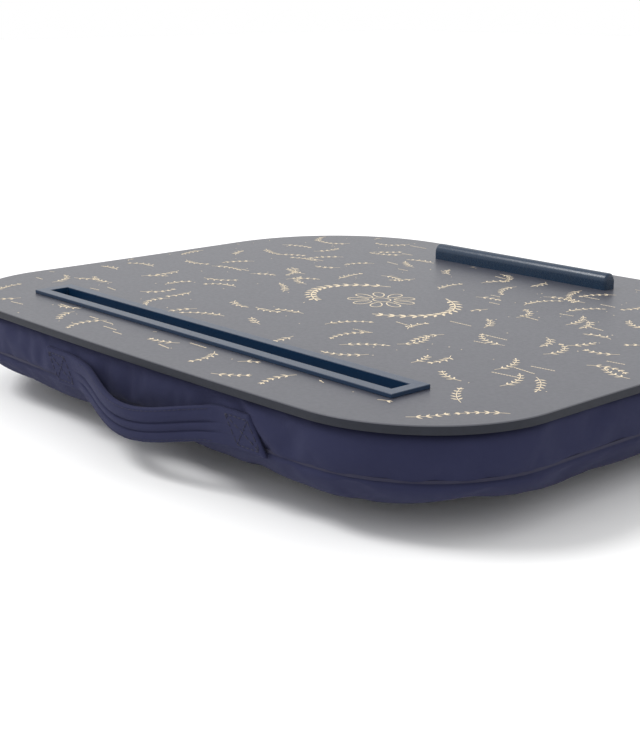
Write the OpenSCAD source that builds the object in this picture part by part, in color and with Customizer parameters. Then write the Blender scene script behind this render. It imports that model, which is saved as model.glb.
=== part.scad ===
// Cushioned lap tray: a thin printed board with a shallow slot for a phone or
// tablet, a stop bar along the user's edge, a bead-filled fabric cushion under
// it and a sewn strap handle on the long side behind the slot.
// Frame: +X along the long side, +Y towards the handle side, -Y towards the
// user, +Z up. The origin is on the surface the cushion rests on, below the
// middle of the board.

/* [Board] */
// Length of the board along X
board_w = 445; // [420:1:470]
// Depth of the board along Y, without the handle
board_d = 376.4; // [360:0.2:395]
// Corner radius on the handle side
corner_back = 79; // [60:1:90]
// Corner radius on the user's side
corner_front = 117; // [95:1:125]
// Depth of the shallow hollow in the user's edge
scoop = 10.5; // [0:0.5:14]
// How far the handle-side edge bows out in its middle
back_bow = 5; // [0:0.5:8]
// Height of the decorated top above the resting surface
top_z = 60; // [56:0.5:66]
// Thickness of the board without its decorated sheet
board_t = 4.4; // [3.6:0.1:6]
// Thickness of the decorated sheet
sheet_t = 0.5; // [0.3:0.1:0.8]

/* [Slot] */
// Outer length of the slot frame
slot_l = 320.6; // [280:0.2:330]
// Outer width of the slot frame
slot_w = 26.5; // [24:0.5:30]
// Width of the flat rim around the slot
rim_w = 6.9; // [5:0.1:8]
// Height of the rim above the decorated sheet
rim_h = 2.3; // [1.6:0.1:3]
// Distance of the slot's middle line from the middle of the board
slot_y = 131; // [120:1:136]

/* [Stop bar] */
// Length of the stop bar
bar_l = 150; // [130:1:180]
// Width and height of the stop bar
bar_w = 10.5; // [9:0.5:12]
// Distance of the stop bar from the middle of the board, towards the user
bar_y = 137; // [125:1:145]
// Distance between neighbouring screws of the stop bar
screw_pitch = 55; // [45:1:60]

/* [Cushion] */
// How far the cushion wall stands in from the board's edge
wall_in = 3; // [2:0.5:5]
// Height of the sewn line between wall and bottom panel
seam_z = 31; // [28:0.5:34]
// Thickness of the cover fabric
cloth = 0.8; // [0.6:0.1:1]

/* [Handle] */
// Half of the free length between the handle's sewn ends
handle_half = 72; // [66:1:78]
// Distance of the handle's middle from the middle of the board, along X
handle_x = -20; // [-24:1:0]
// How far the middle of the strap stands off the wall
handle_bow = 15; // [14:1:18]
// Width of the strap
strap_w = 19; // [15:1:20]
// Thickness of the strap
strap_t = 3.4; // [2.8:0.1:3.6]
// How far the middle of the strap hangs lower than its ends
droop = 10; // [6:1:12]

/* [Hidden] */

hw = board_w / 2;
hd = board_d / 2;
board_top = top_z - sheet_t;
board_bot = board_top - board_t;
glue_t = 0.5;
panel_top = board_bot - glue_t;
panel_bot = panel_top - cloth;
well_wall = 1.6;
slot_il = slot_l - 2 * rim_w;
slot_iw = slot_w - 2 * rim_w;
bar_r = bar_w / 2;
strap_top = panel_top - 6.6;
end_gap = 4.2;

// ---- outline of the board, as a function of the inset from its edge ----
function arc(cx, cy, r, a0, n) =
    [for (i = [0:n]) [cx + r * cos(a0 + 90 * i / n), cy + r * sin(a0 + 90 * i / n)]];
function run(p, q, n) = [for (i = [1:n - 1]) p + (q - p) * i / n];
base_pts = concat(
    arc(hw - corner_back, hd - corner_back, corner_back, 0, 10),
    run([hw - corner_back, hd], [corner_back - hw, hd], 12),
    arc(corner_back - hw, hd - corner_back, corner_back, 90, 10),
    run([-hw, hd - corner_back], [-hw, corner_front - hd], 6),
    arc(corner_front - hw, corner_front - hd, corner_front, 180, 12),
    run([corner_front - hw, -hd], [hw - corner_front, -hd], 14),
    arc(hw - corner_front, corner_front - hd, corner_front, 270, 12),
    run([hw, corner_front - hd], [hw, hd - corner_back], 6));
function bend(p) = let (u = p[0] / hw, v = p[1] / hd)
    [p[0] * (1 + 0.015 * v * v) ,
     p[1] - back_bow * u * u * max(v, 0)
          + scoop * (0.5 + 0.5 * cos(180 * p[0] / (1.3 * hw))) * max(-v, 0)];
outline = [for (p = base_pts) bend(p)];
function ring(d) = [for (p = outline) [p[0] * (hw - d) / hw, p[1] * (hd - d) / hd]];
function wall_y(x) = (hd - wall_in) / hd * (hd - back_bow * pow(x / (hw - wall_in), 2));

// ---- a closed skin through rings of equal count, [inset, height] each ----
function pts3(prof) = [for (q = prof) for (p = ring(q[0])) [p[0], p[1], q[1]]];
module loft(prof) {
    n = len(outline);
    m = len(prof);
    polyhedron(points = pts3(prof), faces = concat(
        [[for (j = [0:n - 1]) j]],
        [for (i = [0:m - 2]) for (j = [0:n - 1]) let (k = (j + 1) % n)
            [i * n + j, (i + 1) * n + j, (i + 1) * n + k]],
        [for (i = [0:m - 2]) for (j = [0:n - 1]) let (k = (j + 1) % n)
            [i * n + j, (i + 1) * n + k, i * n + k]],
        [[for (j = [n - 1:-1:0]) (m - 1) * n + j]]), convexity = 6);
}
// profile of the cushion's underside, from the resting flat to the seam
under = [[126, 0], [112, 0.8], [92, 2.4], [70, 4.9], [50, 7.8], [34, 11], [17, 15.8],
    [10, 19.5], [6, 23.2], [4, 27]];
function lifted(t) = [for (i = [len(under) - 1:-1:0]) [under[i][0] + t, under[i][1] + t]];

// ---- strap: every section lies in a plane of constant x ----
x_flat = handle_half;
tab_t = strap_t - 0.6;
y_flat = tab_t / 2 + 0.2;
function ymid(x) = let (q = abs(x)) q >= x_flat ? y_flat
    : y_flat + (handle_bow - y_flat) * (0.5 + 0.5 * cos(180 * q / x_flat));
// the free middle starts where the strap stands end_gap off the wall
x_end = x_flat / 180 * acos(2 * (end_gap - y_flat) / (handle_bow - y_flat) - 1);
function slope(x) = (ymid(x + 0.2) - ymid(x - 0.2)) / 0.4;
function thick(x, t) = t * sqrt(1 + pow(slope(x), 2));
function ztop(x) = strap_top - droop * max(0, ymid(x) - y_flat) / (handle_bow - y_flat);
// o0..o1 across the thickness, w0..w1 down from the top edge
module ribbon(xs, o0, o1, w0, w1) {
    n = len(xs);
    polyhedron(points = [for (x = xs) let (c = x + handle_x, y = wall_y(c) + ymid(x), z = ztop(x))
            each [[c, y + thick(x, o0), z - w1], [c, y + thick(x, o1), z - w1],
                [c, y + thick(x, o1), z - w0], [c, y + thick(x, o0), z - w0]]],
        faces = concat([[3, 2, 1, 0]],
            [for (i = [0:n - 2]) for (j = [0:3]) let (k = (j + 1) % 4)
                [4 * i + j, 4 * i + k, 4 * (i + 1) + k]],
            [for (i = [0:n - 2]) for (j = [0:3]) let (k = (j + 1) % 4)
                [4 * i + j, 4 * (i + 1) + k, 4 * (i + 1) + j]],
            [[for (j = [0:3]) 4 * (n - 1) + j]]), convexity = 4);
}
strap_xs = [for (i = [0:28]) -x_end + 2 * x_end * i / 28];
tab_end = x_flat + 20;
tab_xs = concat([for (i = [0:9]) x_end + 0.8 + (x_flat - x_end - 0.8) * i / 9],
    [x_flat + 7, x_flat + 14, tab_end]);
function flip(v) = [for (i = [len(v) - 1:-1:0]) -v[i]];

module screw_spots() {
    for (i = [-1:1]) translate([i * screw_pitch, -bar_y, 0]) children();
}
module slab(d, z0, z1) {
    translate([0, 0, z0]) linear_extrude(z1 - z0) polygon(ring(d));
}
module plate(l, w, z0, z1) {
    translate([-l / 2, slot_y - w / 2, z0]) cube([l, w, z1 - z0]);
}

// Thin printed sheet bonded to the board
module top_laminate() {
    color([0.16, 0.17, 0.21]) difference() {
        slab(0, board_top, top_z);
        plate(slot_il + 2 * well_wall + 0.4, slot_iw + 2 * well_wall + 0.4,
            board_top - 1, top_z + 1);
        screw_spots() translate([0, 0, board_top - 1]) cylinder(h = 3, r = 1.7, $fn = 32);
    }
}
// Fibreboard with the slot cut through it and three countersunk holes from below
module tray_board() {
    color([0.13, 0.13, 0.15]) difference() {
        slab(0, board_bot, board_top);
        plate(slot_il + 2 * well_wall + 0.4, slot_iw + 2 * well_wall + 0.4,
            board_bot - 1, board_top + 1);
        screw_spots() {
            translate([0, 0, board_bot - 1]) cylinder(h = board_t + 2, r = 1.7, $fn = 32);
            translate([0, 0, board_bot - 0.001]) cylinder(h = 1.7, r1 = 3.4, r2 = 1.7, $fn = 32);
        }
    }
}
// One moulding: flat rim on the sheet, walls through the board and a floor
module slot_insert() {
    color([0.04, 0.16, 0.25]) difference() {
        union() {
            plate(slot_l, slot_w, top_z, top_z + rim_h);
            plate(slot_il + 2 * well_wall, slot_iw + 2 * well_wall, board_bot, top_z + 0.5);
        }
        plate(slot_il, slot_iw, board_bot + 1.2, top_z + rim_h + 1);
    }
}
// Bar with a half-round top and three blind pilot holes
module stop_bar() {
    color([0.05, 0.17, 0.27]) difference() {
        translate([-bar_l / 2, -bar_y, top_z]) rotate([90, 0, 90]) linear_extrude(bar_l)
            union() {
                translate([0, bar_r]) circle(r = bar_r, $fn = 48);
                translate([-bar_r, 0]) square([bar_w, bar_r]);
            }
        screw_spots() translate([0, 0, top_z - 1]) cylinder(h = 8, r = 1.4, $fn = 32);
    }
}
module stop_bar_screws() {
    color([0.6, 0.6, 0.62]) screw_spots() {
        translate([0, 0, board_bot + 0.05]) cylinder(h = 1.5, r1 = 3, r2 = 1.35, $fn = 32);
        translate([0, 0, board_bot + 0.5]) cylinder(h = board_t + sheet_t + 5.4, r = 1.35, $fn = 32);
    }
}
// Band of glue along the edge of the board's underside
module glue_layer() {
    color([0.75, 0.72, 0.6]) difference() {
        slab(wall_in + 5, panel_top, board_bot);
        slab(wall_in + 27, panel_top - 1, board_bot + 1);
    }
}
module cushion_top_panel() {
    color([0.15, 0.15, 0.26]) slab(wall_in + cloth, panel_bot, panel_top);
}
module cushion_side_band() {
    color([0.19, 0.19, 0.33]) difference() {
        slab(wall_in, seam_z, panel_top);
        slab(wall_in + cloth, seam_z - 1, panel_top + 1);
    }
}
// Crowned fabric bowl with a flat in the middle that the tray rests on
module cushion_bottom_panel() {
    color([0.19, 0.19, 0.33]) loft(concat(under, [[wall_in, seam_z], [wall_in + cloth, seam_z]],
        lifted(cloth)));
}
// Turned-in edges of the two panels behind the seam
module seam_allowance() {
    color([0.13, 0.13, 0.22]) difference() {
        slab(wall_in + cloth, seam_z, seam_z + 1.6);
        slab(wall_in + cloth + 8, seam_z - 1, seam_z + 3);
    }
}
bag_out = concat([for (q = under) if (q[1] < 20) [q[0] + 4, q[1] + cloth + 0.2]],
    [[16, 25], [14, 36], [14, 46], [18, 50], [26, panel_bot]]);
// the bag is open at the top, where the top panel closes it
function bag_in(q, d, t) = q[1] == panel_bot ? [q[0] + d, panel_bot]
    : [q[0] + d, q[1] < 30 ? q[1] + t : q[1] - t];
module bead_bag() {
    color([0.8, 0.78, 0.72]) loft(concat(bag_out,
        [for (i = [len(bag_out) - 1:-1:0]) bag_in(bag_out[i], 1.2, 0.4)]));
}
// Loose beads, as one body
module bead_filling() {
    color([0.92, 0.92, 0.9]) loft([for (q = bag_out)
        bag_in(q, q[1] == panel_bot ? 2.6 : 1.8, 0.9)]);
}
module handle_tab_left() {
    color([0.17, 0.17, 0.3]) ribbon(tab_xs, -0.5 * tab_t, 0.5 * tab_t, 0, strap_w);
}
module handle_tab_right() {
    color([0.17, 0.17, 0.3]) ribbon(flip(tab_xs), -0.5 * tab_t, 0.5 * tab_t, 0, strap_w);
}
// A sewn box with a cross in it on each tab, lying on the tab's face
module stitch_bar(x0, z0, x1, z1) {
    c = x0 + handle_x;
    y = wall_y(c) + y_flat + tab_t / 2 + 0.12;
    dx = x1 - x0;
    dy = wall_y(x1 + handle_x) - wall_y(c);
    dz = z1 - z0;
    translate([c, y, z0]) rotate([0, -atan2(dz, norm([dx, dy])), atan2(dy, dx)])
        translate([0, 0, -0.25]) cube([norm([dx, dy, dz]), 0.4, 0.5]);
}
module one_tab_stitch(s) {
    a = s > 0 ? x_flat + 2 : 2 - tab_end;
    b = s > 0 ? tab_end - 2 : -x_flat - 2;
    lo = strap_top - strap_w + 3;
    hi = strap_top - 3;
    union() {
        stitch_bar(a, lo, b, lo);
        stitch_bar(a, hi, b, hi);
        stitch_bar(a, lo, a, hi);
        stitch_bar(b, lo, b, hi);
        stitch_bar(a, lo, b, hi);
        stitch_bar(a, hi, b, lo);
    }
}
module tab_stitches() {
    color([0.24, 0.24, 0.4]) {
        one_tab_stitch(1);
        one_tab_stitch(-1);
    }
}
// Cloth patches inside the wall that take the pull of the tabs
module handle_backing_patches() {
    color([0.12, 0.12, 0.2]) for (s = [-1, 1])
        translate([handle_x + s * (x_flat + 10) - 15, wall_y(x_flat + 50) - cloth - 1.3, seam_z + 2.2])
            cube([30, 0.9, panel_bot - seam_z - 3]);
}
module handle_strap_face() {
    color([0.19, 0.19, 0.33]) ribbon(strap_xs, 0.2 * strap_t, 0.5 * strap_t, 0, strap_w);
}
module handle_strap_webbing() {
    color([0.1, 0.1, 0.14]) ribbon(strap_xs, -0.2 * strap_t, 0.2 * strap_t, 1.5, strap_w - 1.5);
}
module handle_strap_lining() {
    color([0.17, 0.17, 0.3]) ribbon(strap_xs, -0.5 * strap_t, -0.2 * strap_t, 0, strap_w);
}
// Two sewn lines along the strap
module handle_stitches() {
    color([0.24, 0.24, 0.4]) {
        ribbon(strap_xs, 0.5 * strap_t, 0.5 * strap_t + 0.3, 2.2, 2.7);
        ribbon(strap_xs, 0.5 * strap_t, 0.5 * strap_t + 0.3, strap_w - 2.7, strap_w - 2.2);
    }
}

top_laminate();
tray_board();
slot_insert();
stop_bar();
stop_bar_screws();
glue_layer();
cushion_top_panel();
cushion_side_band();
cushion_bottom_panel();
seam_allowance();
bead_bag();
bead_filling();
handle_tab_left();
handle_tab_right();
tab_stitches();
handle_backing_patches();
handle_strap_face();
handle_strap_webbing();
handle_strap_lining();
handle_stitches();
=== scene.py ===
import math
import random

import bmesh
import bpy
import numpy as np
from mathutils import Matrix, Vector, noise
from mathutils.geometry import tessellate_polygon


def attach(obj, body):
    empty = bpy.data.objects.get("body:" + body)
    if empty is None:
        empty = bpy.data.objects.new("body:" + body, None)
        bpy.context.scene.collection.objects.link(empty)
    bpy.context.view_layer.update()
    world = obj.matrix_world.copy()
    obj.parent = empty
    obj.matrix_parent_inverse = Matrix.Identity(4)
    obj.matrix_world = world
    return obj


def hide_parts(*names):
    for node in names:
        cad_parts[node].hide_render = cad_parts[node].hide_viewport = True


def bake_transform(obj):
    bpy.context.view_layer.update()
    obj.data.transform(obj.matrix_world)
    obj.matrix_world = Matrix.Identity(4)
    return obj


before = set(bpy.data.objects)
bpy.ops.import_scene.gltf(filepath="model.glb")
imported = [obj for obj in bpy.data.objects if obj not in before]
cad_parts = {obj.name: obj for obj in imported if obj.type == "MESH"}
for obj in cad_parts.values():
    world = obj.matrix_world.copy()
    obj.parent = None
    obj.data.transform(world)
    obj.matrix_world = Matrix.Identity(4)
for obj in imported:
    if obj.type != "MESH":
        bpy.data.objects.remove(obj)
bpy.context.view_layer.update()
MM = 0.001
random.seed(11)

# ---------------------------------------------------------------- camera
cam_data = bpy.data.cameras.new("view_camera")
cam = bpy.data.objects.new("view_camera", cam_data)
bpy.context.scene.collection.objects.link(cam)
cam.location = (-0.6101, 0.5927, 0.2447)
look = Vector((0.7226, -0.6425, -0.2551))
cam.rotation_euler = look.to_track_quat("-Z", "Y").to_euler()
cam_data.sensor_width = 36
cam_data.lens = 69.45
cam_data.shift_x = 0.008
cam_data.shift_y = -0.002
cam_data.clip_start = 0.02
bpy.context.scene.camera = cam

# ------------------------------------------------- sizes, as in the CAD (mm)
HW, HD = 222.5, 188.2
RB, RF = 79.0, 117.0
SCOOP, BOW = 10.5, 5.0
TOP, BTOP, BBOT = 60.0, 59.5, 55.1
SEAM = 31.0
WALL_IN = 3.0
SLOT_Y, SLOT_L, SLOT_W, RIM_W, RIM_H = 131.0, 320.6, 26.5, 6.9, 2.3
BAR_Y, BAR_L, BAR_W = 137.0, 150.0, 10.5
H_HALF, H_BOW, STRAP_W, STRAP_T, DROOP = 72.0, 15.0, 19.0, 3.4, 10.0
H_X = -20.0
STRAP_TOP = 48.0


def outline(na=36, nt=36, ns=20, nf=40):
    pts = []

    def arc(cx, cy, r, a0, n):
        for i in range(n + 1):
            a = math.radians(a0 + 90 * i / n)
            pts.append((cx + r * math.cos(a), cy + r * math.sin(a)))

    def run(p, q, n):
        for i in range(1, n):
            pts.append((p[0] + (q[0] - p[0]) * i / n, p[1] + (q[1] - p[1]) * i / n))

    arc(HW - RB, HD - RB, RB, 0, na)
    run((HW - RB, HD), (RB - HW, HD), nt * 2)
    arc(RB - HW, HD - RB, RB, 90, na)
    run((-HW, HD - RB), (-HW, RF - HD), ns)
    arc(RF - HW, RF - HD, RF, 180, na + 10)
    run((RF - HW, -HD), (HW - RF, -HD), nf)
    arc(HW - RF, RF - HD, RF, 270, na + 10)
    run((HW, RF - HD), (HW, HD - RB), ns)
    out = []
    for x, y in pts:
        u, v = x / HW, y / HD
        out.append((x * (1 + 0.015 * v * v),
                    y - BOW * u * u * max(v, 0)
                    + SCOOP * (0.5 + 0.5 * math.cos(math.pi * x / (1.3 * HW))) * max(-v, 0)))
    return np.array(out)


OUT = outline()
N = len(OUT)


def ring(d, z):
    r = OUT * np.array([(HW - d) / HW, (HD - d) / HD])
    return np.column_stack([r, np.full(len(r), z)])


def wall_y(x):
    return (HD - WALL_IN) / HD * (HD - BOW * (x / (HW - WALL_IN)) ** 2)


def make(name, verts, faces, smooth=True, scale=MM):
    me = bpy.data.meshes.new(name)
    me.from_pydata([tuple(float(c) * scale for c in v) for v in verts], [], faces)
    me.validate()
    if smooth:
        me.polygons.foreach_set("use_smooth", [True] * len(me.polygons))
    o = bpy.data.objects.new(name, me)
    bpy.context.scene.collection.objects.link(o)
    return o


def loft(name, rings, cap_lo=True, cap_hi=True):
    n = len(rings[0])
    verts = np.vstack(rings)
    faces = []
    for i in range(len(rings) - 1):
        for j in range(n):
            k = (j + 1) % n
            faces.append((i * n + j, i * n + k, (i + 1) * n + k, (i + 1) * n + j))
    if cap_lo:
        faces.append(tuple(range(n - 1, -1, -1)))
    if cap_hi:
        faces.append(tuple((len(rings) - 1) * n + j for j in range(n)))
    return make(name, verts, faces)


def sharpen(o, deg=35):
    o.data.set_sharp_from_angle(angle=math.radians(deg))
    return o


def modifier(o, kind, **kw):
    m = o.modifiers.new(kind.lower(), kind)
    for k, v in kw.items():
        setattr(m, k, v)
    return m


def apply_all(o):
    dg = bpy.context.evaluated_depsgraph_get()
    me = bpy.data.meshes.new_from_object(o.evaluated_get(dg))
    old = o.data
    o.modifiers.clear()
    o.data = me
    bpy.data.meshes.remove(old)
    return o


# -------------------------------------------------------------- materials
def material(name, color, rough, bump=None, metal=0.0, sheen=0.0, coat=0.0, spec=0.5, vary=0.15,
             vary_scale=60, weave=0.0, weave_dist=0.0003):
    """color varies with a soft noise; bump is (scale, strength, distance); weave is threads per metre."""
    m = bpy.data.materials.new(name)
    m.use_nodes = True
    nt = m.node_tree
    b = nt.nodes["Principled BSDF"]
    b.inputs["Metallic"].default_value = metal
    b.inputs["Specular IOR Level"].default_value = spec
    if sheen:
        b.inputs["Sheen Weight"].default_value = sheen
        b.inputs["Sheen Roughness"].default_value = 0.45
        b.inputs["Sheen Tint"].default_value = (0.45, 0.45, 0.75, 1)
    if coat:
        b.inputs["Coat Weight"].default_value = coat
        b.inputs["Coat Roughness"].default_value = 0.12
    tc = nt.nodes.new("ShaderNodeTexCoord")
    n1 = nt.nodes.new("ShaderNodeTexNoise")
    n1.inputs["Scale"].default_value = vary_scale
    n1.inputs["Detail"].default_value = 6
    nt.links.new(tc.outputs["Object"], n1.inputs["Vector"])
    mix = nt.nodes.new("ShaderNodeMix")
    mix.data_type = "RGBA"
    mix.inputs["A"].default_value = (*[c * (1 - vary) for c in color], 1)
    mix.inputs["B"].default_value = (*[min(1, c * (1 + vary)) for c in color], 1)
    nt.links.new(n1.outputs["Fac"], mix.inputs["Factor"])
    base = mix.outputs["Result"]
    n2 = nt.nodes.new("ShaderNodeTexNoise")
    n2.inputs["Scale"].default_value = vary_scale * 7
    n2.inputs["Detail"].default_value = 4
    nt.links.new(tc.outputs["Object"], n2.inputs["Vector"])
    mr = nt.nodes.new("ShaderNodeMapRange")
    mr.inputs["To Min"].default_value = max(0.02, rough - 0.06)
    mr.inputs["To Max"].default_value = min(1, rough + 0.06)
    nt.links.new(n2.outputs["Fac"], mr.inputs["Value"])
    nt.links.new(mr.outputs["Result"], b.inputs["Roughness"])
    normal = None
    if weave:
        # threads in two directions: along the piece's own run and across it
        at = nt.nodes.new("ShaderNodeAttribute")
        at.attribute_name = "cloth_uv"
        sp = nt.nodes.new("ShaderNodeSeparateXYZ")
        nt.links.new(at.outputs["Vector"], sp.inputs["Vector"])
        waves = []
        for axis in ("X", "Y"):
            mu = nt.nodes.new("ShaderNodeMath")
            mu.operation = "MULTIPLY"
            mu.inputs[1].default_value = weave * 2 * math.pi
            nt.links.new(sp.outputs[axis], mu.inputs[0])
            si = nt.nodes.new("ShaderNodeMath")
            si.operation = "SINE"
            nt.links.new(mu.outputs[0], si.inputs[0])
            waves.append(si.outputs[0])
        pr = nt.nodes.new("ShaderNodeMath")
        pr.operation = "MULTIPLY"
        nt.links.new(waves[0], pr.inputs[0])
        nt.links.new(waves[1], pr.inputs[1])
        bw = nt.nodes.new("ShaderNodeBump")
        bw.inputs["Strength"].default_value = 0.5
        bw.inputs["Distance"].default_value = weave_dist
        nt.links.new(pr.outputs[0], bw.inputs["Height"])
        normal = bw.outputs["Normal"]
        shade = nt.nodes.new("ShaderNodeMapRange")
        shade.inputs["From Min"].default_value = -1
        shade.inputs["To Min"].default_value = 0.86
        shade.inputs["To Max"].default_value = 1.14
        nt.links.new(pr.outputs[0], shade.inputs["Value"])
        vm = nt.nodes.new("ShaderNodeVectorMath")
        vm.operation = "SCALE"
        nt.links.new(base, vm.inputs[0])
        nt.links.new(shade.outputs["Result"], vm.inputs["Scale"])
        base = vm.outputs["Vector"]
    if bump:
        n3 = nt.nodes.new("ShaderNodeTexNoise")
        n3.inputs["Scale"].default_value = bump[0]
        n3.inputs["Detail"].default_value = 5
        nt.links.new(tc.outputs["Object"], n3.inputs["Vector"])
        bn = nt.nodes.new("ShaderNodeBump")
        bn.inputs["Strength"].default_value = bump[1]
        bn.inputs["Distance"].default_value = bump[2]
        nt.links.new(n3.outputs["Fac"], bn.inputs["Height"])
        if normal is not None:
            nt.links.new(normal, bn.inputs["Normal"])
        normal = bn.outputs["Normal"]
    nt.links.new(base, b.inputs["Base Color"])
    if normal is not None:
        nt.links.new(normal, b.inputs["Normal"])
    return m


M = {
    "laminate": material("laminate", (0.050, 0.052, 0.068), 0.36, bump=(2600, 0.12, 0.0001), spec=0.7, vary=0.10),
    "edge": material("board_edge", (0.010, 0.012, 0.020), 0.60, bump=(900, 0.25, 0.00015), spec=0.3, vary=0.3, vary_scale=220),
    "print": material("print_gold", (0.74, 0.62, 0.44), 0.5, bump=(3000, 0.1, 0.0001), vary=0.12, vary_scale=400),
    "slot": material("slot_plastic", (0.004, 0.022, 0.058), 0.30, bump=(1800, 0.1, 0.0001), vary=0.15),
    "bar": material("bar_plastic", (0.003, 0.020, 0.050), 0.27, bump=(2400, 0.35, 0.00018), vary=0.2, vary_scale=300),
    "cover": material("cover_cloth", (0.020, 0.022, 0.054), 0.88, bump=(240, 0.25, 0.0006), sheen=0.08, spec=0.15,
                      vary=0.10, vary_scale=30, weave=1600, weave_dist=0.00007),
    "strap": material("strap_cloth", (0.019, 0.021, 0.052), 0.85, bump=(300, 0.25, 0.0005), sheen=0.08, spec=0.15,
                      vary=0.10, vary_scale=40, weave=1600, weave_dist=0.00007),
    "thread": material("thread", (0.008, 0.008, 0.024), 0.75, bump=(4000, 0.4, 0.0001), sheen=0.1, vary=0.2, vary_scale=900),
    "seam": material("seam_thread", (0.006, 0.006, 0.018), 0.85, bump=(3000, 0.4, 0.0001), vary=0.2, vary_scale=900),
    "inner": material("inner_cloth", (0.02, 0.02, 0.045), 0.9, bump=(1500, 0.4, 0.0002), vary=0.15),
    "bag": material("bag_cloth", (0.6, 0.57, 0.48), 0.9, bump=(1500, 0.5, 0.0002), vary=0.08),
    "beads": material("foam_beads", (0.85, 0.85, 0.82), 0.8, bump=(500, 0.9, 0.0008), vary=0.06),
    "glue": material("hot_melt", (0.62, 0.56, 0.38), 0.35, bump=(260, 0.6, 0.0004), vary=0.15),
    "steel": material("screw_steel", (0.56, 0.56, 0.58), 0.32, bump=(1800, 0.2, 0.0001), metal=1.0, vary=0.08),
    "webbing": material("webbing", (0.014, 0.014, 0.02), 0.9, bump=(1200, 0.6, 0.0003), vary=0.2),
}


def dress(o, key):
    o.data.materials.clear()
    o.data.materials.append(M[key])
    return o


for node, key in {
    "top_laminate": "laminate", "tray_board": "edge", "slot_insert": "slot", "stop_bar": "bar",
    "stop_bar_screws": "steel", "glue_layer": "glue", "cushion_top_panel": "inner",
    "cushion_side_band": "cover", "cushion_bottom_panel": "cover", "seam_allowance": "inner",
    "bead_bag": "bag", "bead_filling": "beads", "handle_tab_left": "strap", "handle_tab_right": "strap",
    "tab_stitches": "thread", "handle_backing_patches": "inner", "handle_strap_face": "strap",
    "handle_strap_webbing": "webbing", "handle_strap_lining": "strap", "handle_stitches": "thread",
}.items():
    dress(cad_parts[node], key)


# ---------------------------------------------------- board and top sheet
def slab_with_slot(name, prof, hole_l, hole_w, z_lo, z_hi):
    """prof is (inset, z) from the bottom face up to the top face. The slot goes straight through."""
    rings = [ring(d, z) for d, z in prof]
    verts = list(np.vstack(rings))
    n = N
    faces = []
    for i in range(len(rings) - 1):
        for j in range(n):
            k = (j + 1) % n
            faces.append((i * n + j, i * n + k, (i + 1) * n + k, (i + 1) * n + j))
    hx, hy = hole_l / 2, hole_w / 2
    rect = [(-hx, SLOT_Y - hy), (hx, SLOT_Y - hy), (hx, SLOT_Y + hy), (-hx, SLOT_Y + hy)]
    lo0 = len(verts)
    verts += [np.array([x, y, z_lo]) for x, y in rect]
    hi0 = len(verts)
    verts += [np.array([x, y, z_hi]) for x, y in rect]
    for j in range(4):
        k = (j + 1) % 4
        faces.append((lo0 + j, hi0 + j, hi0 + k, lo0 + k))
    for base, r0, up in ((0, lo0, False), ((len(rings) - 1) * n, hi0, True)):
        idx = [base + j for j in range(n)] + [r0 + 3 - j for j in range(4)]
        loops = [[Vector(verts[i]) for i in idx[:n]], [Vector(verts[i]) for i in idx[n:]]]
        for t in tessellate_polygon(loops):
            a, b, c = (idx[q] for q in t)
            nz = np.cross(verts[b] - verts[a], verts[c] - verts[a])[2]
            if (nz > 0) != up:
                b, c = c, b
            faces.append((a, b, c))
    return sharpen(make(name, verts, faces), 30)


board = slab_with_slot("board_panel", [(2.4, BBOT), (1.6, BBOT), (1.0, BBOT), (0.3, BBOT + 0.25), (0.0, BBOT + 0.9), (0.0, BTOP)],
                       310.4, 16.3, BBOT, BTOP)
dress(board, "edge")
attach(board, "tray")
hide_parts("tray_board")
sheet_top = slab_with_slot("printed_top", [(0.0, BTOP), (0.0, TOP - 0.28), (0.12, TOP - 0.08), (0.35, TOP), (0.9, TOP), (1.6, TOP)],
                           310.4, 16.3, BTOP, TOP)
dress(sheet_top, "laminate")
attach(sheet_top, "tray")
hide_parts("top_laminate")

# the moulding keeps its CAD shape, with softened edges
slot_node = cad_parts["slot_insert"]
modifier(slot_node, "WELD", merge_threshold=1e-5)
modifier(slot_node, "BEVEL", width=0.00035, segments=3, limit_method="ANGLE", angle_limit=math.radians(40))

# ---------------------------------------------------------------- stop bar
bar_r = BAR_W / 2
prof = [(-bar_r, 0.0), (-bar_r, bar_r * 0.5)]
prof += [(-bar_r * math.cos(math.radians(a)), bar_r + bar_r * math.sin(math.radians(a))) for a in range(0, 181, 6)]
prof += [(bar_r, bar_r * 0.5), (bar_r, 0.0)]
bar_rings = []
for s in (-1, 1):
    steps = [0, 12, 25, 40, 55, 70, 82, 90]
    seq = steps if s < 0 else steps[::-1]
    for a in seq:
        e = 1.8
        ins = e * (1 - math.sin(math.radians(a)))
        x = s * (BAR_L / 2 - e * (1 - math.cos(math.radians(a))))
        bar_rings.append(np.array([[x, -BAR_Y + py * (bar_r - ins) / bar_r,
                                    TOP + pz * (BAR_W - ins) / BAR_W] for py, pz in prof]))
n = len(prof)
bv = np.vstack(bar_rings)
bf = []
for i in range(len(bar_rings) - 1):
    for j in range(n):
        k = (j + 1) % n
        bf.append((i * n + j, (i + 1) * n + j, (i + 1) * n + k, i * n + k))
bf.append(tuple(range(n)))
bf.append(tuple((len(bar_rings) - 1) * n + j for j in range(n - 1, -1, -1)))
bar = make("stop_bar_body", bv, bf)
bm = bmesh.new()
bm.from_mesh(bar.data)
bmesh.ops.recalc_face_normals(bm, faces=bm.faces)
bm.to_mesh(bar.data)
bm.free()
sharpen(bar, 50)
dress(bar, "bar")
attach(bar, "tray")
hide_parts("stop_bar")

# --------------------------------------------------------- printed ornament
# Leafy curved stems, loose dots, short dashes, and a flower between two leaf arcs
pv, pf = [], []
PZ0, PZ1 = TOP + 0.01, TOP + 0.07


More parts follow.
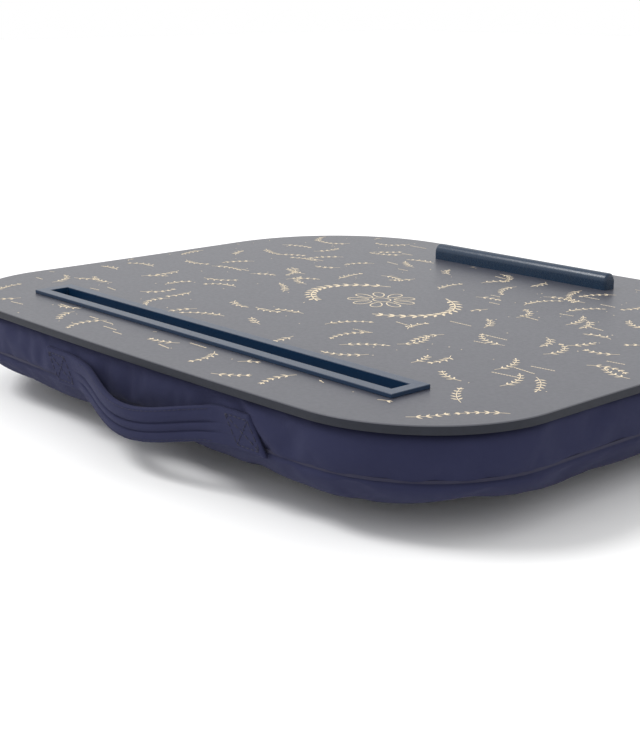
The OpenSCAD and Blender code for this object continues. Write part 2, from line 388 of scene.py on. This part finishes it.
def prism(poly):
    b = len(pv)
    k = len(poly)
    area = sum(poly[i][0] * poly[(i + 1) % k][1] - poly[(i + 1) % k][0] * poly[i][1] for i in range(k))
    if area < 0:
        poly = poly[::-1]
    pv.extend([(x, y, PZ0) for x, y in poly] + [(x, y, PZ1) for x, y in poly])
    pf.append(tuple(b + i for i in range(k - 1, -1, -1)))
    pf.append(tuple(b + k + i for i in range(k)))
    for i in range(k):
        j = (i + 1) % k
        pf.append((b + i, b + j, b + k + j, b + k + i))


def stroke(a, b, w0, w1=None):
    w1 = w0 if w1 is None else w1
    dx, dy = b[0] - a[0], b[1] - a[1]
    length = math.hypot(dx, dy)
    if length < 1e-6:
        return
    nx, ny = -dy / length, dx / length
    prism([(a[0] + nx * w0 / 2, a[1] + ny * w0 / 2), (a[0] - nx * w0 / 2, a[1] - ny * w0 / 2),
           (b[0] - nx * w1 / 2, b[1] - ny * w1 / 2), (b[0] + nx * w1 / 2, b[1] + ny * w1 / 2)])


def dot(c, r, k=8):
    prism([(c[0] + r * math.cos(2 * math.pi * i / k), c[1] + r * math.sin(2 * math.pi * i / k)) for i in range(k)])


poly_in = OUT * np.array([(HW - 5) / HW, (HD - 5) / HD])


def inside(x, y):
    c = False
    j = N - 1
    for i in range(N):
        xi, yi = poly_in[i]
        xj, yj = poly_in[j]
        if (yi > y) != (yj > y) and x < (xj - xi) * (y - yi) / (yj - yi) + xi:
            c = not c
        j = i
    return c


def free(x, y, m=2.0):
    if abs(x) < SLOT_L / 2 + m and abs(y - SLOT_Y) < SLOT_W / 2 + m:
        return False
    if abs(x) < BAR_L / 2 + m and abs(y + BAR_Y) < BAR_W / 2 + m:
        return False
    if (x / 62) ** 2 + ((y + 6) / 44) ** 2 < 1:
        return False
    return inside(x, y)


def leaf(q, ang, length, half):
    tip = (q[0] + length * math.cos(ang), q[1] + length * math.sin(ang))
    mid = (q[0] + 0.45 * length * math.cos(ang), q[1] + 0.45 * length * math.sin(ang))
    nx, ny = -math.sin(ang) * half, math.cos(ang) * half
    if free(*tip):
        prism([q, (mid[0] + nx, mid[1] + ny), tip, (mid[0] - nx, mid[1] - ny)])


# curved stems with leaves on both sides, on a spread grid so that the density stays even
for gx in range(-7, 8):
    for gy in range(-6, 7):
        x = gx * 31 + random.uniform(-7, 7)
        y = gy * 31 + random.uniform(-7, 7)
        a = random.uniform(0, 2 * math.pi)
        turn = random.choice([-1, 1]) * random.uniform(0.05, 0.16)
        steps = random.randint(8, 13)
        prev = None
        for i in range(steps):
            if not free(x, y, 3.5):
                break
            if prev:
                stroke(prev, (x, y), 0.4)
                if i % 2 == 0:
                    for side in (-1, 1):
                        leaf((x, y), a + side * 0.8, 4.6 - 0.2 * i, 0.62)
            prev = (x, y)
            a += turn
            x += 2.3 * math.cos(a)
            y += 2.3 * math.sin(a)
        if prev:
            leaf(prev, a, 3.2, 0.6)
# a few loose dots and short broken rules, at the scale of fine print
for _ in range(150):
    x, y = random.uniform(-HW, HW), random.uniform(-HD, HD)
    if free(x, y):
        dot((x, y), random.choice([0.38, 0.5]), 6)
for _ in range(60):
    x, y = random.uniform(-HW, HW), random.uniform(-HD, HD)
    a = random.choice([0.0, 0.0, 0.12, -0.12])
    total = random.uniform(7, 16)
    if free(x, y) and free(x + total, y):
        p = 0.0
        while p < total:
            d = random.uniform(0.8, 1.7)
            stroke((x + p * math.cos(a), y + p * math.sin(a)),
                   (x + (p + d) * math.cos(a), y + (p + d) * math.sin(a)), 0.75)
            p += d + 0.45
# flower of round-ended petals with a ring of leaves round it
for i in range(9):
    a = 2 * math.pi * i / 9
    cs, sn = math.cos(a), math.sin(a)
    petal = []
    for j in range(14):
        t = 2 * math.pi * j / 14
        r, w = 15.5 + 7 * math.cos(t), 3.6 * math.sin(t) * (1 + 0.25 * math.cos(t))
        petal.append((r * cs - w * sn, -6 + 0.9 * (r * sn + w * cs)))
    for q0, q1 in zip(petal, petal[1:] + petal[:1]):
        stroke(q0, q1, 0.7)
for i in range(40):
    a0, a1 = 2 * math.pi * i / 40, 2 * math.pi * (i + 1) / 40
    stroke((6 * math.cos(a0), -6 + 5 * math.sin(a0)), (6 * math.cos(a1), -6 + 5 * math.sin(a1)), 0.7)
for s in (-1, 1):
    prev = None
    for i in range(15):
        t = i / 14
        a = math.radians(-62 + 124 * t)
        q = (s * (52 * math.cos(a)), -6 + 36 * math.sin(a))
        if prev:
            stroke(prev, q, 0.8)
        if 0 < i < 14:
            for side in (-1, 1):
                ang = math.atan2(q[1] - prev[1], q[0] - prev[0]) + side * 0.75
                L = 6.2
                tip = (q[0] + L * math.cos(ang), q[1] + L * math.sin(ang))
                mid = ((q[0] + tip[0]) / 2, (q[1] + tip[1]) / 2)
                nx, ny = -math.sin(ang) * 1.15, math.cos(ang) * 1.15
                prism([q, (mid[0] + nx, mid[1] + ny), tip, (mid[0] - nx, mid[1] - ny)])
        prev = q
ornament = make("printed_ornament", pv, pf, smooth=False)
dress(ornament, "print")
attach(ornament, "tray")

# ------------------------------------------------------------- cushion
# profile of the cover from the resting flat up to the board, (inset, height)
PROFILE = [(126, 0.0), (119, 0.15), (111, 0.7), (102, 1.4), (92, 2.3), (81, 3.5), (70, 4.8), (60, 6.2),
           (50, 7.8), (42, 9.3), (34, 11.0), (25, 13.4), (17, 15.8), (13, 17.5), (10, 19.3), (7.7, 21.3),
           (5.9, 23.3), (4.4, 25.6), (3.3, 27.8), (3.2, 29.8), (4.9, SEAM), (3.3, 32.2), (2.8, 34.5), (2.5, 37.5),
           (2.4, 41.0), (2.5, 44.5), (2.7, 48.0), (3.0, 51.0), (3.6, 53.2), (4.8, 54.2), (7.0, 54.5)]
SEAM_I = [p[1] for p in PROFILE].index(SEAM)
cover = loft("cushion_cover", [ring(d, z) for d, z in PROFILE], False, False)
me = cover.data
co = np.array([v.co for v in me.vertices]) / MM
ring_i = np.repeat(np.arange(len(PROFILE)), N)
rest = co.copy()
# inflate between the pinned seam, the pinned rim and the resting flat
pin = cover.vertex_groups.new(name="pin")
held = [int(i) for i in np.where((ring_i <= 1) | (ring_i == SEAM_I) | (ring_i >= len(PROFILE) - 3))[0]]
pin.add(held, 1.0, "REPLACE")
for v in me.vertices:
    w = noise.noise(Vector((v.co.x * 22, v.co.y * 22, v.co.z * 40))) * 0.0005
    v.co += v.normal * w
cl = cover.modifiers.new("cloth", "CLOTH")
cs = cl.settings
cs.vertex_group_mass = "pin"
cs.use_pressure = True
cs.uniform_pressure_force = 4
cs.effector_weights.gravity = 0
cs.quality = 5
cs.tension_stiffness = 25
cs.compression_stiffness = 25
cs.shear_stiffness = 10
cs.bending_stiffness = 1.5
cs.shrink_min = -0.012
cl.point_cache.frame_start = 1
cl.point_cache.frame_end = 20
cl.collision_settings.use_collision = False
cl.collision_settings.use_self_collision = False
for f in range(1, 21):
    bpy.context.scene.frame_set(f)
dg = bpy.context.evaluated_depsgraph_get()
sim = np.array([v.co for v in cover.evaluated_get(dg).data.vertices]) / MM
cover.modifiers.clear()
bpy.context.scene.frame_set(1)
if len(sim) == len(co) and np.isfinite(sim).all():
    delta = sim - co
    size = np.linalg.norm(delta, axis=1)
    cap = 2.6
    delta *= (cap * np.tanh(size / cap) / np.maximum(size, 1e-9))[:, None]
    co = co + delta
    print("cushion simulation: moved", round(float(size.mean()), 2), "mm on average before the cap")
# the pull of the strap ends, and soft unevenness of the wall
normal_xy = OUT - np.roll(OUT, 1, axis=0)
tang = np.roll(OUT, -1, axis=0) - np.roll(OUT, 1, axis=0)
tang /= np.linalg.norm(tang, axis=1)[:, None]
outw = np.column_stack([tang[:, 1], -tang[:, 0]])
outw = np.tile(outw, (len(PROFILE), 1))
seg = np.linalg.norm(np.roll(OUT, -1, axis=0) - OUT, axis=1)
along = np.concatenate([[0], np.cumsum(seg)[:-1]])
along = np.tile(along, len(PROFILE))
for i in range(len(co)):
    x, y, z = rest[i]
    if ring_i[i] < 12 or ring_i[i] >= len(PROFILE) - 2:
        continue
    k = 1.0 if ring_i[i] != SEAM_I else 0.2
    w = 0.55 * noise.noise(Vector((along[i] / 46, z / 30, 3))) + 0.22 * noise.noise(Vector((along[i] / 15, z / 26, 9)))
    if y > 170 and z > SEAM - 2:
        for tx, lean, deep in ((-99.0, -1.15, 2.2), (77.0, -0.6, 0.8)):
            line = tx + lean * (STRAP_TOP - z)
            u = (x - line) / 2.4
            w -= deep * math.exp(-u * u) * min(1, max(0, (z - SEAM) / 3))
            u = (x - line + (9 if tx < 0 else -9)) / 7
            w += 0.5 * deep * math.exp(-u * u)
    co[i, 0] += outw[i, 0] * w * k
    co[i, 1] += outw[i, 1] * w * k
co[:, 2] = np.maximum(co[:, 2], 0.02)
co[ring_i == 0, 2] = 0.02
me.vertices.foreach_set("co", (co * MM).ravel())
uv = me.attributes.new("cloth_uv", "FLOAT_VECTOR", "POINT")
run_up = np.concatenate([[0], np.cumsum([math.hypot(a[0] - b[0], a[1] - b[1]) for a, b in zip(PROFILE[1:], PROFILE)])])
vec = np.column_stack([along * MM, run_up[ring_i] * MM, np.zeros(len(co))]).astype(np.float32)
uv.data.foreach_set("vector", vec.ravel())
me.update()
modifier(cover, "SUBSURF", levels=1, render_levels=1)
apply_all(cover)
# the resting flat and the face below the board close the cover
bm = bmesh.new()
bm.from_mesh(cover.data)
loops, todo = [], {e for e in bm.edges if e.is_boundary}
while todo:
    e = todo.pop()
    start, v = e.verts
    loop = [start, v]
    while v != start:
        e = next(x for x in v.link_edges if x in todo)
        todo.discard(e)
        v = e.other_vert(v)
        loop.append(v)
    loops.append(loop[:-1])
for loop in loops:
    bm.faces.new(loop).smooth = True
bmesh.ops.recalc_face_normals(bm, faces=bm.faces)
bm.to_mesh(cover.data)
bm.free()
print("cover closed over", len(loops), "loops")
dress(cover, "cover")
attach(cover, "tray")
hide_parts("cushion_side_band", "cushion_bottom_panel", "cushion_top_panel")

# a welt of thread and a pressed fold along the seam
sv, sf = [], []
seam_r = co[ring_i == SEAM_I]
S = 6
for j in range(N):
    p = seam_r[j]
    o2 = outw[j]
    for q in range(S):
        a = 2 * math.pi * q / S
        r = 0.55
        sv.append((p[0] + o2[0] * (r * math.cos(a) + 0.1), p[1] + o2[1] * (r * math.cos(a) + 0.1), p[2] + 0.4 * r * math.sin(a)))
for j in range(N):
    k = (j + 1) % N
    for q in range(S):
        t = (q + 1) % S
        sf.append((j * S + q, k * S + q, k * S + t, j * S + t))
seam = make("cushion_seam", sv, sf)
dress(seam, "seam")
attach(seam, "tray")

# --------------------------------------------------------------- handle
X_FLAT = H_HALF
X_BEND = H_HALF - 14
TAB_T = STRAP_T - 0.6
Y_FLAT = TAB_T / 2 + 0.2
TAB_END = X_FLAT + 20


def ymid(x):
    q = min(abs(x), X_FLAT)
    return Y_FLAT + (H_BOW - Y_FLAT) * (0.5 + 0.5 * math.cos(math.pi * q / X_FLAT))


def smooth(t):
    t = min(1, max(0, t))
    return t * t * (3 - 2 * t)


def strap_point(x, w, off):
    """x along, w down from the top edge, off across the thickness from the middle surface."""
    lean = 13.0 * smooth((abs(x) - X_FLAT + 24) / 26)
    c = x + H_X - lean * (w / STRAP_W - 0.5)
    y = wall_y(c) + ymid(x)
    sl = (ymid(x + 0.2) - ymid(x - 0.2)) / 0.4
    n = math.sqrt(1 + sl * sl)
    z = STRAP_TOP - DROOP * max(0, ymid(x) - Y_FLAT) / (H_BOW - Y_FLAT)
    mid = 1 - smooth(abs(x) / X_FLAT)
    tilt = 0.08 * mid * (w - STRAP_W / 2)
    return (c - off * sl / n, y + off / n - tilt, z - w)


def face_relief(w, x):
    """Layers of the folded strap: two lengthwise creases that flatten out in the sewn ends."""
    mid = 1 - smooth((abs(x) - 52) / 16)
    c = 0.0
    for w0, deep, wide in ((8.2, 1.5, 0.6), (13.0, 1.3, 0.55)):
        c -= deep * math.exp(-((w - w0) / wide) ** 2)
    c += 0.45 * math.exp(-((w - 4.4) / 2.9) ** 2) + 0.25 * math.exp(-((w - 10.6) / 1.4) ** 2)
    c += 0.3 * math.exp(-((w - 16) / 2.0) ** 2)
    return c * (0.15 + 0.85 * mid)


xs = np.concatenate([np.linspace(-TAB_END, -X_FLAT, 24), np.linspace(-X_FLAT, X_FLAT, 150)[1:-1],
                     np.linspace(X_FLAT, TAB_END, 24)])
ws = np.linspace(0.7, STRAP_W - 0.7, 46)
rings, uvs = [], []
run_len, last = 0.0, None
for x in xs:
    t = STRAP_T if abs(x) < X_BEND else STRAP_T - 0.6 * smooth((abs(x) - X_BEND) / (X_FLAT - X_BEND))
    edge = smooth((TAB_END - abs(x)) / 1.2)
    h = t / 2 * (0.35 + 0.65 * edge)
    sec = []
    for w in ws:
        crease = 0.12 * noise.noise(Vector((x / 9, w / 5, 1)))
        sec.append((w, h + (face_relief(w, x) + crease) * edge * 0.8))
    for a in (-50, 0, 50):
        sec.append((STRAP_W - 0.7 + 0.7 * math.cos(math.radians(a)), h * -math.sin(math.radians(a)) * 0.9))
    for w in ws[::-1]:
        sec.append((w, -h * 0.98))
    for a in (50, 0, -50):
        sec.append((0.7 - 0.7 * math.cos(math.radians(a)), h * -math.sin(math.radians(a)) * 0.9))
    pts = [strap_point(x, w, o) for w, o in sec]
    c = np.mean(pts, axis=0)
    run_len += 0 if last is None else float(np.linalg.norm(c - last))
    last = c
    rings.append(np.array(pts))
    uvs += [(run_len * MM, w * MM, 0.0) for w, _ in sec]
strap = loft("handle_strap_cover", rings)
a = strap.data.attributes.new("cloth_uv", "FLOAT_VECTOR", "POINT")
a.data.foreach_set("vector", np.array(uvs, np.float32).ravel())
bm = bmesh.new()
bm.from_mesh(strap.data)
bmesh.ops.recalc_face_normals(bm, faces=bm.faces)
bm.to_mesh(strap.data)
bm.free()
dress(strap, "strap")
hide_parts("handle_tab_left", "handle_tab_right", "handle_strap_face", "handle_strap_lining",
            "handle_strap_webbing")
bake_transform(strap)

# stitches as short rounded threads lying on the strap
tv, tf = [], []


def thread(p, q, r=0.26):
    p, q = Vector(p), Vector(q)
    d = (q - p).normalized()
    up = Vector((0, 0, 1)) if abs(d.z) < 0.9 else Vector((1, 0, 0))
    e1 = d.cross(up).normalized()
    e2 = d.cross(e1)
    b = len(tv)
    for t, s in ((0, 0.35), (0.2, 1.0), (0.8, 1.0), (1, 0.35)):
        c = p + (q - p) * t
        for i in range(6):
            a = 2 * math.pi * i / 6
            tv.append(tuple(c + (e1 * math.cos(a) + e2 * math.sin(a)) * r * s))
    for i in range(3):
        for j in range(6):
            k = (j + 1) % 6
            tf.append((b + i * 6 + j, b + i * 6 + k, b + (i + 1) * 6 + k, b + (i + 1) * 6 + j))
    tf.append(tuple(b + j for j in range(5, -1, -1)))
    tf.append(tuple(b + 18 + j for j in range(6)))


def on_face(x, w):
    t = STRAP_T if abs(x) < X_BEND else STRAP_T - 0.6 * smooth((abs(x) - X_BEND) / (X_FLAT - X_BEND))
    return strap_point(x, w, t / 2 + 0.8 * face_relief(w, x) + 0.1)


def stitch_line(a, b, pitch=2.9, part=0.72, r=0.26):
    length = math.hypot(b[0] - a[0], b[1] - a[1])
    k = max(1, int(length / pitch))
    for i in range(k):
        t0, t1 = i / k, (i + part) / k
        thread(on_face(a[0] + (b[0] - a[0]) * t0, a[1] + (b[1] - a[1]) * t0),
               on_face(a[0] + (b[0] - a[0]) * t1, a[1] + (b[1] - a[1]) * t1), r)


for s in (-1, 1):
    a0, b0 = s * (X_FLAT + 1), s * (TAB_END - 2)
    stitch_line((a0, 2.6), (b0, 2.6))
    stitch_line((a0, STRAP_W - 2.6), (b0, STRAP_W - 2.6))
    stitch_line((a0, 2.6), (a0, STRAP_W - 2.6))
    stitch_line((b0, 2.6), (b0, STRAP_W - 2.6))
    stitch_line((a0, 2.6), (b0, STRAP_W - 2.6))
    stitch_line((a0, STRAP_W - 2.6), (b0, 2.6))
for w in (1.6, STRAP_W - 1.6):
    stitch_line((-X_BEND, w), (X_BEND, w), r=0.14)
bm = bmesh.new()
stitches = make("handle_stitching", tv, tf)
bm.from_mesh(stitches.data)
bmesh.ops.recalc_face_normals(bm, faces=bm.faces)
bm.to_mesh(stitches.data)
bm.free()
dress(stitches, "thread")
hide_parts("tab_stitches", "handle_stitches")
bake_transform(stitches)

# ----------------------------------------------------------------- stage
floor = make("floor", [(-6, -6, -0.0002), (6, -6, -0.0002), (6, 6, -0.0002), (-6, 6, -0.0002)], [(0, 1, 2, 3)],
             smooth=False, scale=1)
fm = bpy.data.materials.new("floor")
fm.use_nodes = True
fb = fm.node_tree.nodes["Principled BSDF"]
fb.inputs["Base Color"].default_value = (0.90, 0.90, 0.90, 1)
fb.inputs["Roughness"].default_value = 0.9
fb.inputs["Specular IOR Level"].default_value = 0.1
floor.data.materials.append(fm)

world = bpy.data.worlds.new("studio")
bpy.context.scene.world = world
world.use_nodes = True
bg = world.node_tree.nodes["Background"]
bg.inputs["Color"].default_value = (1, 1, 1, 1)
bg.inputs["Strength"].default_value = 1.0
bpy.context.scene.view_settings.view_transform = "Standard"

sun = bpy.data.lights.new("key", "SUN")
sun.energy = 1.7
sun.angle = math.radians(22)
key = bpy.data.objects.new("key", sun)
key.rotation_euler = Vector((-0.55, -0.5, -1.0)).to_track_quat("-Z", "Y").to_euler()
bpy.context.scene.collection.objects.link(key)
